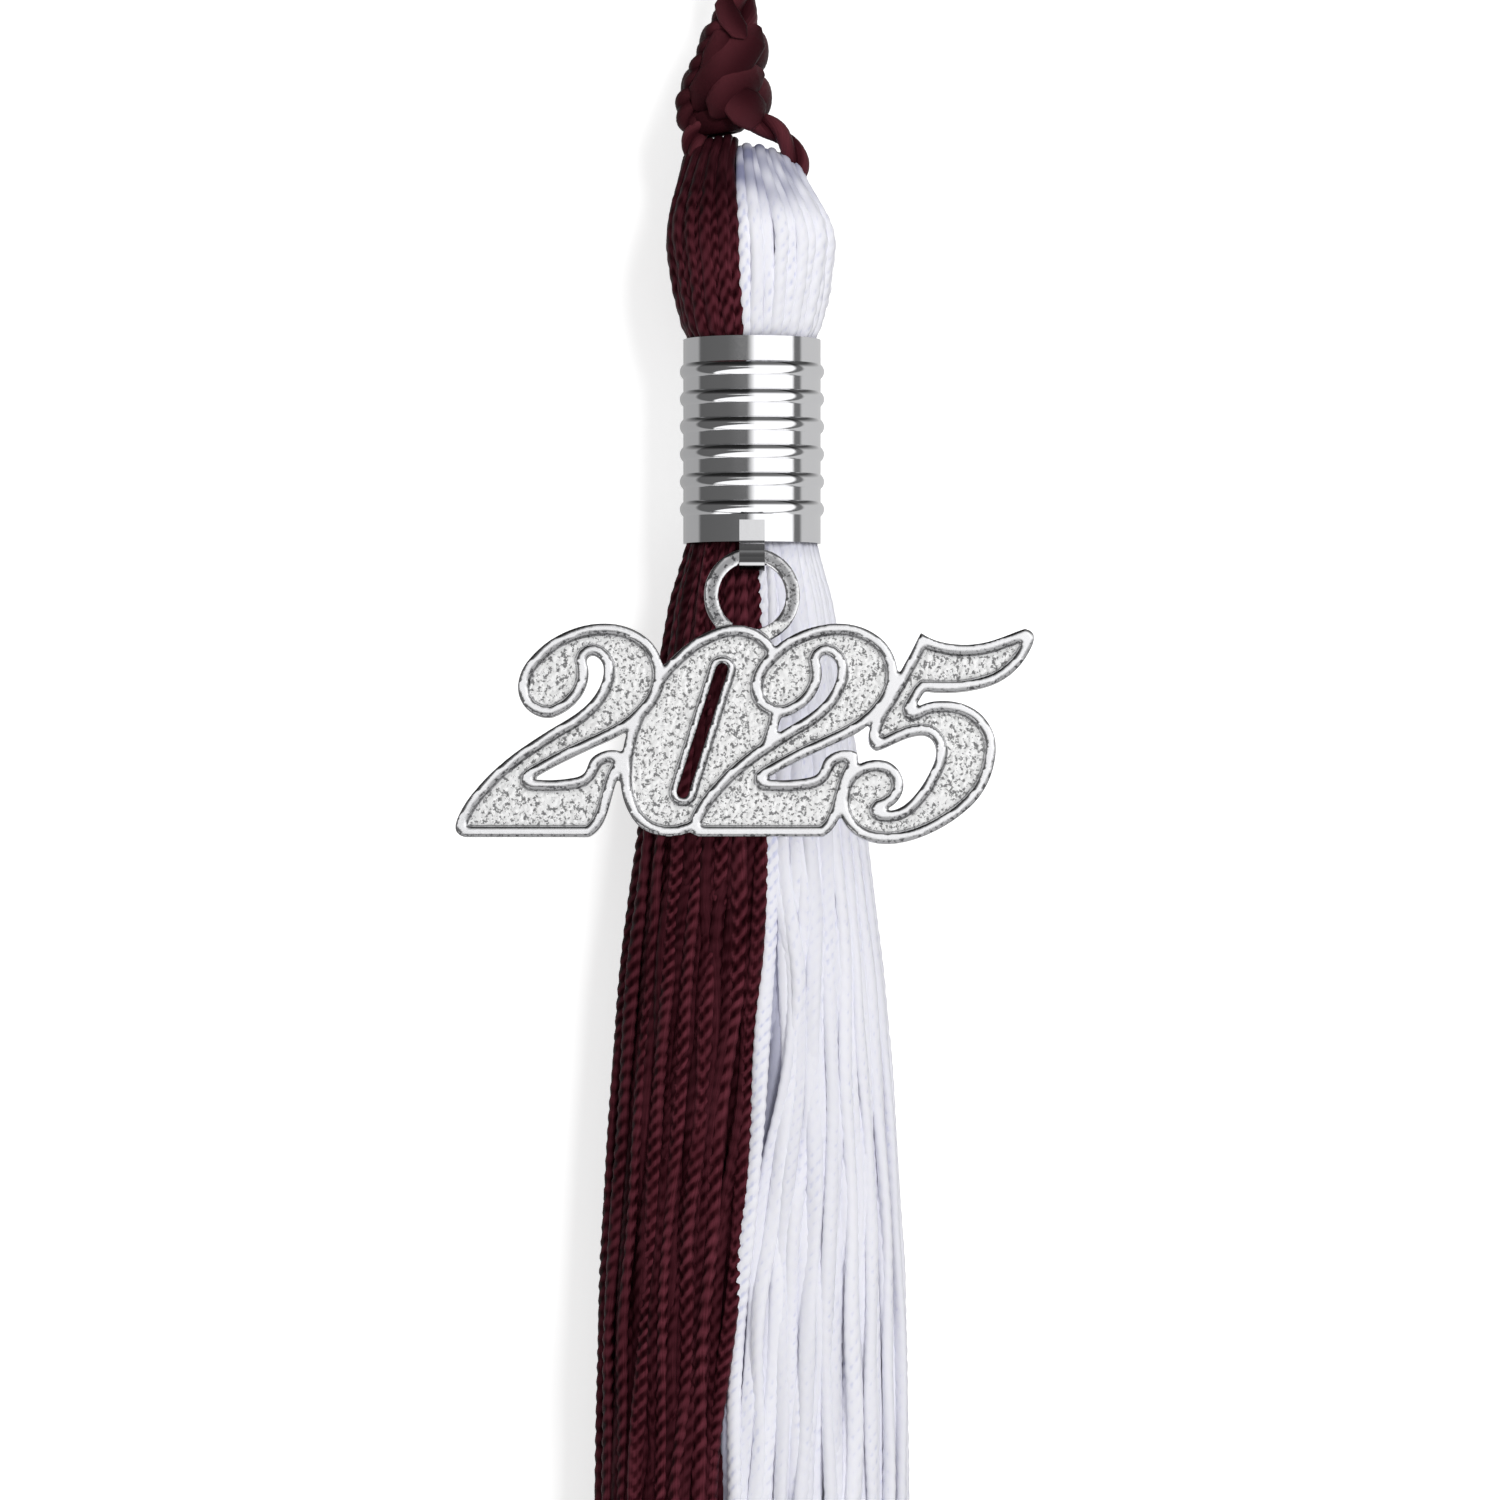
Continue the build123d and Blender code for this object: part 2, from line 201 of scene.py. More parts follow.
def metal_material(name, tint, roughness, tarnish, cast=False, painted_reflection_bands=()):
    """Plated metal with faint polishing lines and dull spots. A casting also has sandy floors, painted shade on the
    sides turned from the light and a painted dark reflection on the ring's face.

    painted_reflection_bands are stops from the foot of the piece to its top, as the share of light that each height
    gives back: painted reflections and painted shade along the piece.
    """
    material, n = new_material(name)
    place = n.add("ShaderNodeTexCoord").outputs["Object"]
    fine = n.add("ShaderNodeTexNoise", {"Vector": place, "Scale": 2600.0, "Detail": 3.0}).outputs[0]
    cloud = n.add("ShaderNodeTexNoise", {"Vector": place, "Scale": 320.0, "Detail": 4.0}).outputs[0]
    lines = n.add("ShaderNodeMapping", {0: place, 3: (200.0, 200.0, 9000.0)}).outputs[0]
    polish = n.add("ShaderNodeTexNoise", {"Vector": lines, "Scale": 1.0, "Detail": 2.0}).outputs[0]
    rough = n.math("ADD", roughness, n.math("MULTIPLY", n.math("POWER", cloud, 2.0), tarnish))
    relief = n.math("ADD", n.math("MULTIPLY", polish, 0.15), n.math("MULTIPLY", fine, 0.4))
    bump = n.add("ShaderNodeBump", {"Strength": 0.12, "Distance": 0.00002, "Height": relief}).outputs[0]
    colour = n.mix(n.math("MULTIPLY", cloud, tarnish), tint, tuple(0.55 * c for c in tint[:3]) + (1.0,))
    metallic = 1.0
    if painted_reflection_bands:
        own_place = n.add("ShaderNodeTexCoord").outputs["Generated"]
        own_height = n.add("ShaderNodeSeparateXYZ", {0: own_place}).outputs[2]
        painted_reflection = n.ramp(own_height, [(stop, (share, share, share)) for stop, share in painted_reflection_bands])
        colour = n.add("ShaderNodeMix", {0: 1.0, 6: colour, 7: painted_reflection}, data_type="RGBA", blend_type="MULTIPLY").outputs[2]
    if cast:
        floor = n.add("ShaderNodeAttribute", attribute_name="floor").outputs[2]
        shade_and_dark_reflection = n.add("ShaderNodeAttribute", attribute_name="shade_and_dark_reflection").outputs[2]
        grain = n.add("ShaderNodeTexNoise", {"Vector": place, "Scale": 3000.0, "Detail": 2.0, "Roughness": 0.75}).outputs[0]
        speck = n.ramp(grain, [(0.4, (1, 1, 1)), (0.48, (0, 0, 0))])
        pitted = n.math("MULTIPLY", n.math("MAXIMUM", floor, n.math("MULTIPLY", shade_and_dark_reflection, 0.6)), speck)
        colour = n.mix(floor, colour, (1.0, 1.0, 1.0, 1.0))
        colour = n.mix(n.math("MULTIPLY", pitted, 0.85), colour, (0.09, 0.09, 0.095, 1.0))
        # Painted shade and painted dark reflection, broken up by the grain.
        grainy_shade_amount = n.math("SUBTRACT", 0.92, n.math("MULTIPLY", n.math("SUBTRACT", 1.0, speck), 0.25))
        colour = n.mix(n.math("MULTIPLY", shade_and_dark_reflection, grainy_shade_amount), colour, (0.035, 0.035, 0.038, 1.0))
        rough = n.math("ADD", rough, n.math("MULTIPLY", floor, 0.25))
        metallic = n.math("SUBTRACT", 1.0, n.math("MULTIPLY", floor, 0.6))
        sand = n.math("MULTIPLY", grain, n.math("ADD", 0.1, floor))
        bump = n.add("ShaderNodeBump", {"Strength": 0.5, "Distance": 0.00007, "Height": sand, "Normal": bump}).outputs[0]
    shader = n.add(
        "ShaderNodeBsdfPrincipled",
        {"Base Color": colour, "Metallic": metallic, "Roughness": rough, "Normal": bump},
    )
    n.add("ShaderNodeOutputMaterial", {0: shader.outputs[0]})
    return material


BAND_METAL = metal_material("nickel_plate", screen_colour(238, 238, 240), 0.07, 0.08)
# Painted reflections and painted shade: dark and bright bands along the strap's height.
STRAP_METAL = metal_material(
    "strap_plate", screen_colour(238, 238, 240), 0.07, 0.08,
    painted_reflection_bands=((0.0, 0.02), (0.09, 0.03), (0.11, 0.7), (0.15, 0.7), (0.17, 0.06), (0.34, 0.1), (0.42, 0.8), (0.56, 1.0)),
)
CHARM_METAL = metal_material("cast_plate", screen_colour(238, 238, 240), 0.1, 0.1, cast=True)


# ---- Yarn sweeps ----
def smooth(t):
    t = np.clip(t, 0, 1)
    return t * t * (3 - 2 * t)


def resample(points, step):
    """Points at an even spacing along a smooth path. step is one length, or a function of the path's points."""
    points = np.asarray(points, float)
    lengths = np.concatenate([[0], np.cumsum(np.linalg.norm(np.diff(points, axis=0), axis=1))])
    if callable(step):
        weight = 1 / step((points[1:] + points[:-1]) / 2)
        travel = np.concatenate([[0], np.cumsum(np.diff(lengths) * weight)])
        count = max(int(travel[-1]) + 1, 4)
        places = np.interp(np.linspace(0, travel[-1], count), travel, lengths)
    else:
        count = max(int(lengths[-1] / step) + 1, 4)
        places = np.linspace(0, lengths[-1], count)
    return np.stack([np.interp(places, lengths, points[:, k]) for k in range(3)], axis=1), places


def curve_through(points, per_span=16):
    """A Catmull-Rom curve through a few points."""
    p = np.asarray(points, float)
    p = np.concatenate([[2 * p[0] - p[1]], p, [2 * p[-1] - p[-2]]])
    t = np.linspace(0, 1, per_span, endpoint=False)[:, None]
    spans = []
    for a, b, c, d in zip(p[:-3], p[1:-2], p[2:-1], p[3:]):
        spans.append(0.5 * (2 * b + (c - a) * t + (2 * a - 5 * b + 4 * c - d) * t**2 + (3 * b - a - 3 * c + d) * t**3))
    return np.concatenate([*spans, p[-2:-1]])


def unit(v):
    return v / np.maximum(np.linalg.norm(v, axis=-1, keepdims=True), 1e-12)


def path_axes(points, outward):
    """Tangent, outward normal and sideways direction at each point of a path."""
    tangent = unit(np.gradient(points, axis=0))
    normal = outward - np.sum(outward * tangent, axis=1, keepdims=True) * tangent
    normal = unit(normal)
    return tangent, normal, np.cross(tangent, normal)


def grid_object(name, rings, attributes, uvs, material, body=None):
    """A capped tube from rings of points. rings is (rows, around, 3) in millimetres."""
    rows, around = rings.shape[:2]
    vertices = np.concatenate([rings.reshape(-1, 3), rings[0].mean(0)[None], rings[-1].mean(0)[None]]) * MM
    row, col = np.meshgrid(np.arange(rows - 1), np.arange(around), indexing="ij")
    after = (col + 1) % around
    quads = np.stack([row * around + col, row * around + after, (row + 1) * around + after, (row + 1) * around + col], -1)
    quads = quads.reshape(-1, 4)
    edge = np.arange(around)
    last = (rows - 1) * around
    start_cap = np.stack([np.full(around, rows * around), (edge + 1) % around, edge], -1)
    end_cap = np.stack([np.full(around, rows * around + 1), last + edge, last + (edge + 1) % around], -1)
    loops = np.concatenate([quads.ravel(), start_cap.ravel(), end_cap.ravel()]).astype(np.int32)
    sizes = np.concatenate([np.full(len(quads), 4), np.full(2 * around, 3)]).astype(np.int32)
    mesh = bpy.data.meshes.new(name)
    mesh.vertices.add(len(vertices))
    mesh.vertices.foreach_set("co", vertices.astype(np.float32).ravel())
    mesh.loops.add(len(loops))
    mesh.loops.foreach_set("vertex_index", loops)
    mesh.polygons.add(len(sizes))
    mesh.polygons.foreach_set("loop_start", np.concatenate([[0], np.cumsum(sizes)[:-1]]).astype(np.int32))
    mesh.polygons.foreach_set("loop_total", sizes)
    mesh.polygons.foreach_set("use_smooth", np.ones(len(sizes), bool))
    u, v = uvs
    flat_u = np.concatenate([u.ravel(), [0, 0]])
    flat_v = np.concatenate([v.ravel(), [v[0, 0], v[-1, 0]]])
    layer = mesh.uv_layers.new(name="yarn")
    layer.data.foreach_set("uv", np.stack([flat_u[loops], flat_v[loops]], -1).astype(np.float32).ravel())
    for key, values in attributes.items():
        attribute = mesh.attributes.new(key, "FLOAT", "POINT")
        ends = [values[0].mean(), values[-1].mean()]
        attribute.data.foreach_set("value", np.concatenate([values.ravel(), ends]).astype(np.float32))
    mesh.update()
    mesh.validate()
    mesh.materials.append(material)
    made = bpy.data.objects.new(name, mesh)
    bpy.context.scene.collection.objects.link(made)
    if body:
        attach(made, body)
    return made


STITCH = 1.18  # length of one chain stitch
AROUND = 14


def chainette(name, points, places, outward, half_width, twist, material, stitch=1.0, shade=None, around=AROUND,
              start=0.0, thickness=0.8):
    """A knitted chainette yarn: two columns of slanted loops with a hole between each loop and the next."""
    tangent, normal, side = path_axes(points, outward)
    rows = len(points)
    theta = np.linspace(0, 2 * np.pi, around, endpoint=False)[None, :]
    lateral, facing = np.sin(theta), np.cos(theta)
    s = (places / (STITCH * rng.uniform(0.9, 1.3)) + start)[:, None]
    column = np.where(lateral > 0, 0.5, 0.0)
    loop = 0.5 + 0.5 * np.cos(2 * np.pi * (s + 0.55 * np.abs(lateral) * np.sign(facing + 1e-6) + column))
    groove = np.exp(-(lateral / 0.22) ** 2)
    hole = (1 - loop) ** 2 * np.exp(-((np.abs(lateral) - 0.52) / 0.25) ** 2)
    amount = np.broadcast_to(np.asarray(stitch, float).reshape(-1, 1), (rows, 1))
    amount = amount * (0.72 + waves(places, 0.4, 7.0, 17.0, 31.0))[:, None]
    radius = 1 + amount * (0.14 * (loop - 0.5) - 0.12 * groove - 0.34 * hole)
    half = np.broadcast_to(np.asarray(half_width, float).reshape(-1, 1), (rows, 1))
    turn = np.broadcast_to(np.asarray(twist, float).reshape(-1, 1), (rows, 1))
    across, out = half * radius * lateral, half * thickness * radius * facing
    x = across * np.cos(turn) - out * np.sin(turn)
    y = across * np.sin(turn) + out * np.cos(turn)
    rings = points[:, None, :] + x[..., None] * side[:, None, :] + y[..., None] * normal[:, None, :]
    # crown is painted light: a painted highlight on the loops and painted shade in the groove between the columns and
    # in the stitch holes.
    crown = np.clip(0.62 + amount * (0.38 * (loop - 0.5) - 0.35 * groove * 0.5 - 0.9 * hole), 0, 1)
    if shade is None:
        shade = np.zeros(rows)
    shades = np.broadcast_to(np.asarray(shade, float).reshape(-1, 1), crown.shape)
    uvs = (np.broadcast_to(theta / (2 * np.pi), crown.shape), np.broadcast_to(places[:, None], crown.shape))
    return grid_object(name, rings, {"crown": crown, "shade": shades}, uvs, material)


def waves(places, size, *lengths):
    """A smooth wander along a path: the sum of a few waves with seeded phases."""
    total = np.zeros(len(places))
    for length in lengths:
        total += np.sin(2 * np.pi * places / length + rng.uniform(0, 2 * np.pi))
    return size * total / len(lengths)


# ---- Skirt ----
COLOURS = {"maroon": (-1, MAROON), "white": (1, WHITE)}
SKIRT = np.array([
    # drop below the band, half width, half depth, border between the colours
    (-3.0, 4.2, 4.1, 0.3),
    (0.0, 4.7, 4.4, 0.4),
    (1.0, 5.4, 4.4, 0.5),
    (2.0, 5.9, 4.4, 0.6),
    (6.0, 6.6, 4.5, 0.8),
    (12.0, 7.4, 4.7, 0.9),
    (24.0, 8.9, 5.1, 1.0),
    (35.0, 10.2, 5.5, 0.9),
    (43.0, 10.9, 5.7, 0.45),
    (51.0, 11.4, 5.9, -0.65),
    (60.0, 11.9, 6.1, -1.4),
    (77.0, 12.2, 6.3, -2.4),
    (200.0, 13.0, 6.9, -2.4),
])


def skirt_at(drop):
    """Half width, half depth and border of the skirt at each drop, rounded between the measured places."""
    window = np.array([-3.0, -1.5, 0.0, 1.5, 3.0])
    rows = [np.mean([np.interp(drop + d, SKIRT[:, 0], SKIRT[:, k]) for d in window], axis=0) for k in (1, 2, 3)]
    return rows


def even_angles(count, half_width, half_depth):
    """Angles from the front to the back that space yarns evenly round half an ellipse."""
    fine = np.linspace(0, np.pi, 400)
    x, y = half_width * np.sin(fine), half_depth * np.cos(fine)
    travelled = np.concatenate([[0], np.cumsum(np.hypot(np.diff(x), np.diff(y)))])
    return np.interp((np.arange(count) + 0.5) / count * travelled[-1], travelled, fine)


def tail_step(points):
    """Rings are closer together near the band, where the tails are seen from closest."""
    drop = BAND_BOTTOM - points[:, 2]
    return np.where(drop < 85, 0.28, 0.42)


def tail(name, side, material, angle, depth, half_width, around=AROUND, step=tail_step, parting=0.0, shade=0.0,
         stitch=1.0):
    """One tail, from inside the band to its trimmed end. depth is its share of the way out from the middle.

    parting moves the tail away from the border, where the skirt falls open. shade darkens it.
    """
    reach = SKIRT_LENGTH - rng.uniform(0.0, 1.6)
    drop = np.linspace(-3.0, reach, 500)
    width, thick, border = skirt_at(drop)
    inset = depth * (1 - 0.07 * rng.uniform(0, 1) * (1 - smooth(drop / 26)))
    wander = waves(drop, 0.42, rng.uniform(18, 30), rng.uniform(40, 70)) * smooth(drop / 14)
    ripple = waves(drop, 0.34, rng.uniform(12, 18), rng.uniform(24, 40)) * smooth(drop / 14)
    sway = waves(drop, 0.9, rng.uniform(90, 160)) * smooth((drop - 40) / 100)
    x = border + (side * width - border) * inset * np.sin(angle) + (wander + sway) * abs(np.cos(angle))
    x = x + parting * smooth((drop - 22) / 14) * (1 - smooth((drop - 44) / 16))
    y = -(thick * inset + ripple) * np.cos(angle) + (wander + sway) * 0.6 * np.sin(angle)
    path = np.stack([x, y, BAND_BOTTOM - drop], axis=1)
    points, places = resample(path, step)
    outward = np.stack([np.full(len(points), side * np.sin(angle)), np.full(len(points), -np.cos(angle) * 1.4),
                        np.zeros(len(points))], axis=1)
    twist = waves(places, 0.9, rng.uniform(14, 30), rng.uniform(40, 90)) + rng.uniform(-0.7, 0.7)
    gathered = 0.74 + 0.26 * smooth((BAND_BOTTOM - points[:, 2]) / 16)
    frayed = 1 + 0.25 * smooth((places - places[-1] + 3.0) / 3.0)
    made = chainette(name, points, places, outward, half_width * gathered * frayed, twist, material, stitch=stitch,
                     # painted shade: the tail darkens just under the band's edge.
                     shade=np.maximum(shade, 0.3 * (1 - smooth((BAND_BOTTOM - points[:, 2]) / 2.0))),
                     around=around, start=rng.uniform(0, 1))
    return made


def join(objects, name):
    """Joins meshes into one object with a given name."""
    with bpy.context.temp_override(active_object=objects[0], selected_editable_objects=objects, selected_objects=objects):
        bpy.ops.object.join()
    objects[0].name = name
    objects[0].data.name = name
    return objects[0]


def skirt_body(obj):
    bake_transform(obj)


PARTING = (0.2, 1.15, 0.85, 0.45)  # how far the white tails next to the border stand off it


def make_skirt():
    outer_counts, inner, core = {"maroon": 30, "white": 36}, 24, 8
    for colour, (side, material) in COLOURS.items():
        outer = outer_counts[colour]
        for i, angle in enumerate(even_angles(outer, 11.0, 6.0)):
            layer = 1.0 if i % 2 == 0 else 0.95
            parting = PARTING[i] if colour == "white" and i < len(PARTING) else 0.0
            recessed = i % 2 == 1
            # White tails get a small random tone. Maroon tails get the same, plus painted shade on the recessed tails
            # and on those turned towards the side.
            if side > 0:
                shade, stitch = rng.uniform(0, 0.1), 1.0 if i == 0 else 0.5
            else:
                shade = rng.uniform(0, 0.12) + (0.4 if recessed else 0.0) + 0.3 * smooth(np.sin(angle) * 2 - 0.9)
                stitch = 0.6 if recessed else 1.0
            made = tail(f"{colour}_tail_{i + 1:02d}", side, material, angle, layer, rng.uniform(0.54, 0.66),
                        parting=parting, shade=shade, stitch=stitch)
            skirt_body(made)
            if i == 0:
                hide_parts(f"{colour}_tails_front")
            if i == outer - 1:
                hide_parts(f"{colour}_tails_back")
        # Painted shade on the hidden inner and core tails, strongest on the two next to the border, where the skirt
        # falls open.
        for layer_name, count, depth, shade in (("inner", inner, 0.9, 0.05 if side > 0 else 0.5), ("core", core, 0.5, 0.5)):
            tails = [
                tail(f"{colour}_{layer_name}_{i}", side, material, angle, depth - (0.12 if i < 2 else 0.0), 0.85, around=10,
                     step=0.5, shade=0.6 if i < 2 else shade, stitch=0.5)
                for i, angle in enumerate(even_angles(count, 8.0, 4.5))
            ]
            skirt_body(join(tails, f"{colour}_{layer_name}_tails"))


# ---- Head ----
HEAD = np.array([
    # height above the band, half width on the maroon side, on the white side, half depth
    (-3.0, 4.1, 4.1, 3.9),
    (-0.5, 4.3, 4.3, 4.1),
    (0.9, 5.2, 5.2, 4.9),
    (4.0, 6.1, 6.1, 5.5),
    (7.5, 6.6, 6.5, 5.7),
    (10.2, 6.6, 6.3, 5.3),
    (12.5, 6.4, 6.5, 4.4),
    (14.0, 6.0, 6.0, 3.2),
    (16.5, 5.2, 3.8, 1.2),
])


def head_yarn(name, side, material, share, depth, half_width, around=AROUND, step=0.17, loose=1.0):
    """One yarn up the front of the head, over the cord, and down the back. share runs from the border to the side."""
    column = 1 if side < 0 else 2
    crest = 16.2 - 1.3 * share**2 if side < 0 else 15.5 - 1.6 * share**2
    crest *= 0.55 + 0.45 * depth
    rise = np.linspace(-3.0, crest, 90)
    width = np.interp(rise, HEAD[:, 0], HEAD[:, column])
    thick = np.interp(rise, HEAD[:, 0], HEAD[:, 3])
    lean = share * np.pi / 2 * 0.96
    gather = smooth((rise - 8.0) / (crest - 8.0))
    border = -0.72 - 0.06 * np.clip(rise, 0, 12) + side * 0.08
    lip = 0.45 * smooth((rise - 13.5) / 2.5) if side < 0 else 0.0
    fold_x = border + lip + side * (0.3 + (3.7 if side < 0 else 4.7) * share)
    x_side = border + (side * width - border) * np.sin(lean)
    x = depth * ((1 - gather * 0.8) * x_side + gather * 0.8 * fold_x)
    over = np.clip((rise - 9.0) / (crest - 9.0), 0, 1)
    y_front = thick * np.cos(lean) ** 0.8
    y_fold = max(y_front[np.searchsorted(rise, 9.0)], 1.3)
    y = depth * np.where(rise < 9.0, y_front, y_fold * np.sqrt(np.clip(1 - over**2, 0, 1)))
    front = np.stack([x, -y, BAND_TOP + rise], axis=1)
    back = (front * [1, -1, 1])[::-1][1:]
    path = np.concatenate([front, back])
    path, _ = resample(path, 0.3)
    kernel = np.ones(5) / 5
    for k in range(3):
        path[2:-2, k] = np.convolve(path[:, k], kernel, "valid")
    points, places = resample(path, step)
    height = points[:, 2] - BAND_TOP
    points[:, 0] += waves(places, 0.14, 9.0, 15.0) * smooth((13 - height) / 6)
    centre = np.stack([np.full(len(points), border.mean()), np.zeros(len(points)), np.minimum(points[:, 2], BAND_TOP + 9.5)], 1)
    outward = points - centre
    pinch = smooth((height - (10.5 if side < 0 else 9.0)) / 4.0)
    twist = waves(places, 0.5, 12.0, 25.0)
    # Painted shade: darker towards the fold at the top in streaks, on the maroon side also towards the side and near
    # the border, darker just above the band and on the inner fill yarns.
    streak = 1 + waves(places, 0.5, 3.0, 7.0)
    top = (0.72 if side > 0 else 0.35) * smooth((height - 8.5) / 4.5) * (1 - 0.4 * share) * streak
    if side < 0:
        top = top + 0.3 * share + 0.4 * (1 - share) * smooth((height - 4.5) / 5.0)
    shade = np.clip(top + 0.3 * (1 - smooth(height / 0.8)) + 0.5 * (1 - depth) * (depth < 0.9), 0, 0.9)
    return chainette(name, points, places, outward, half_width * (1 - 0.25 * pinch), twist, material,
                     stitch=(1 - 0.8 * pinch) * loose, shade=shade, around=around, start=rng.uniform(0, 1), thickness=0.85)


def make_head():
    for colour, (side, material) in COLOURS.items():
        count = 11
        for i in range(count):
            share = (i + 0.4) / count
            made = head_yarn(f"{colour}_head_yarn_{i + 1:02d}", side, material, share, 1.0 if i % 2 else 0.965,
                             rng.uniform(0.54, 0.62), loose=0.65 if side < 0 else 1.0 if i == 0 else 0.6)
            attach(made, "tassel")
            if i == 0:
                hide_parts(f"{colour}_head_yarns")
        inner = [
            head_yarn(f"{colour}_fill_{i}", side, material, (i + 0.5) / 6, depth, 0.8, around=10, step=0.4)
            for depth in (0.85, 0.6)
            for i in range(6)
        ]
        filled = join(inner, f"{colour}_head_inner_yarns")
        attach(filled, "tassel")


# ---- Cord ----
def satin_ply(name, centre, radius, plies, offset, lay, phase=0.0, material=CORD, squash=1.0, step=0.16, around=14,
              reference=(0, -1, 0), swell=None):
    """Plies of smooth floss laid round a path. lay is the length of one turn."""
    points, places = resample(centre, step)
    outward = np.broadcast_to(np.array(reference, float), points.shape)
    tangent, normal, side = path_axes(points, outward)
    swell = np.ones(len(points)) if swell is None else np.interp(places / places[-1], *swell)
    made = []
    for ply in range(plies):
        turn = 2 * np.pi * (places / lay + ply / plies) + phase
        away = np.cos(turn)[:, None] * normal + np.sin(turn)[:, None] * side
        along = np.cross(tangent, away)
        line = points + (offset * swell)[:, None] * away
        theta = np.linspace(0, 2 * np.pi, around, endpoint=False)
        lobe = radius * swell[:, None]
        rings = (line[:, None, :] + (lobe * np.cos(theta))[..., None] * away[:, None, :]
                 + (lobe * squash * np.sin(theta))[..., None] * along[:, None, :])
        u = np.broadcast_to(theta[None] / (2 * np.pi), rings.shape[:2])
        v = np.broadcast_to(places[:, None], rings.shape[:2]) + 0.4 * u * lay
        # crown is painted light: a painted highlight on the outer side of each ply and painted shade on its inner
        # side.
        crown = 0.5 + 0.25 * np.broadcast_to(np.cos(theta)[None], rings.shape[:2])
        attributes = {"crown": crown, "shade": np.zeros_like(crown)}
        made.append(grid_object(f"{name}_ply_{ply + 1}", rings, attributes, (u, v), material))
    return made


KNOT_X = -2.3  # the knot sits left of the tassel's axis
KNOT_Z = BAND_TOP + 21.0


def above_band(*points):
    return [(x, y, BAND_TOP + h) for x, y, h in points]


def make_cord():
    swing, fold = JOINTS["cord_side_swing"][2], JOINTS["cord_board_fold"][2]
    middle = (swing + fold) / 2
    ring = LOOP_SIDE - 0.85
    crown = curve_through([
        (0.45, 0, -34), (1.2, 0, -26), (3.2, 0, -18), (ring * 0.95, 0, -9.5), (ring * 0.72, 0, -2.6), (0, 0, 0.85),
        (-ring * 0.72, 0, -2.6), (-ring * 0.95, 0, -9.5), (-3.2, 0, -18), (-1.2, 0, -26), (-0.45, 0, -34),
    ])
    loop = join(satin_ply("hanging_loop", crown, 0.56, 2, 0.42, 6.5), "hanging_loop_cord")
    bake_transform(loop)
    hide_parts("cord_loop_top")
    upper = curve_through([(0, 0, -31), (0, 0, -45), (0, 0, middle - 1)])
    lay = 11.0
    upper_cord = join(satin_ply("upper", upper, 0.92, 2, 0.72, lay, squash=1.1), "upper_cord")
    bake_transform(upper_cord)
    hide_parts("cord_middle")
    lower = curve_through([
        (0, 0, middle), (0, 0, fold - 2), (-0.5, 0, KNOT_TOP + 5), (-1.0, 0, KNOT_TOP + 1.5), (-1.3, -0.2, KNOT_TOP - 1.5),
        (-1.5, -0.3, KNOT_TOP - 4.0),
    ])
    lower_cord = join(satin_ply("lower", lower, 0.92, 2, 0.72, lay, phase=2 * np.pi * (middle + 31) / lay, squash=1.1),
                      "lower_cord")
    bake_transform(lower_cord)


def broad_fold(name, fat, places, squash=0.34, swell=((0.0, 0.15, 0.5, 0.85, 1.0), (0.2, 0.8, 1.0, 0.8, 0.2))):
    """One flattened, unturned strand of floss."""
    return satin_ply(name, curve_through(above_band(*places)), fat, 1, 0.0, 1e6, phase=math.pi / 2, squash=squash,
                     around=20, swell=swell)


